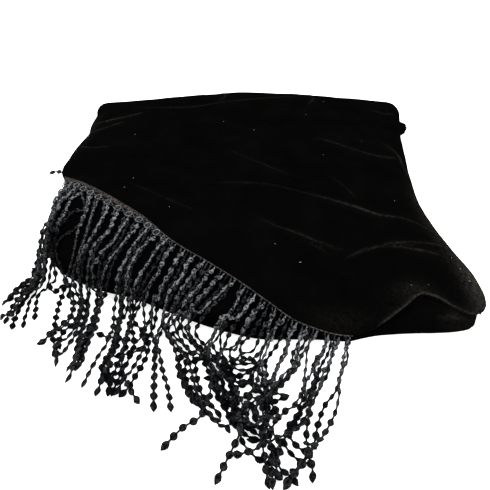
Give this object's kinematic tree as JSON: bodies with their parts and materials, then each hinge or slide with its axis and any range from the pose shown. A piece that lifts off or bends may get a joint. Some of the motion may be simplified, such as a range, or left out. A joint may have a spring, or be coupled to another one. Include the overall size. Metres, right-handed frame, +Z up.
{
  "type": "folded evening stole",
  "caption": "Black velvet evening stole folded into a flat pile, its end panel on top with a long lozenge-strand fringe spread over the pile and the table.",
  "frame": {"origin": "middle of the whole footprint, on the table top that the pile rests on", "axes": "+Z up from the table, +X to the right and -Y toward the viewer, with the fringe spread toward -Y"},
  "size_m": [0.4814, 0.6018, 0.0619],
  "materials": {
    "velvet": "black pile velvet with a soft dark sheen",
    "velvet_layers": "black pile velvet, folded edges",
    "rayon_cord": "charcoal rayon with a grey-blue lustre"
  },
  "bodies": {
    "root": {"top_panel": "velvet", "folded_layers": "velvet_layers", "end_fringe": "rayon_cord"}
  },
  "joints": []
}
